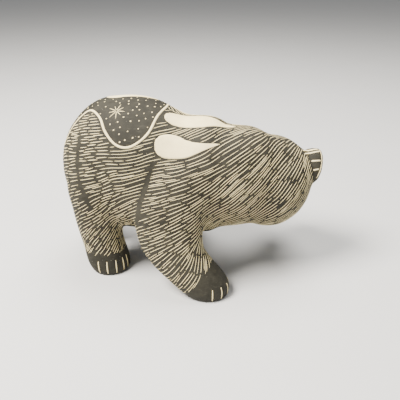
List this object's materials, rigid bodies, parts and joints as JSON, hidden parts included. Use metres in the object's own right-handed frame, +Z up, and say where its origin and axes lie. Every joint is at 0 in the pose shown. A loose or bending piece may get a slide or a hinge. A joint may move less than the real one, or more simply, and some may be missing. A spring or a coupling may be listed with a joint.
{
  "type": "pottery bear figurine",
  "caption": "Hollow hand-built pottery bear, walking with its head bowed and turned aside; dark slip scratched with cream fur strokes, teardrops and a starry saddle.",
  "frame": {"origin": "middle of the bear's footprint box, on the surface that it stands on", "axes": "+X the way the bear walks, +Y its left, +Z up"},
  "size_m": [0.1856, 0.1104, 0.1251],
  "materials": {
    "grey_slip": "matte dark grey slip, lightly burnished",
    "cream_clay": "matte bare clay, where the slip is scratched away",
    "black_slip": "burnished black slip"
  },
  "bodies": {
    "root": {"rump_bowl": "grey_slip", "chest_bowl": "grey_slip", "neck_ring": "grey_slip", "head_shell": "grey_slip", "muzzle": "grey_slip", "nose": "black_slip", "tail_flap": "grey_slip", "right_eye": "black_slip", "left_eye": "black_slip", "right_ear": "grey_slip", "left_ear": "grey_slip", "right_hind_leg": "grey_slip", "left_hind_leg": "grey_slip", "right_foreleg": "grey_slip", "left_foreleg": "grey_slip", "right_hind_paw": "grey_slip", "left_hind_paw": "grey_slip", "right_fore_paw": "grey_slip", "left_fore_paw": "grey_slip"}
  },
  "joints": []
}
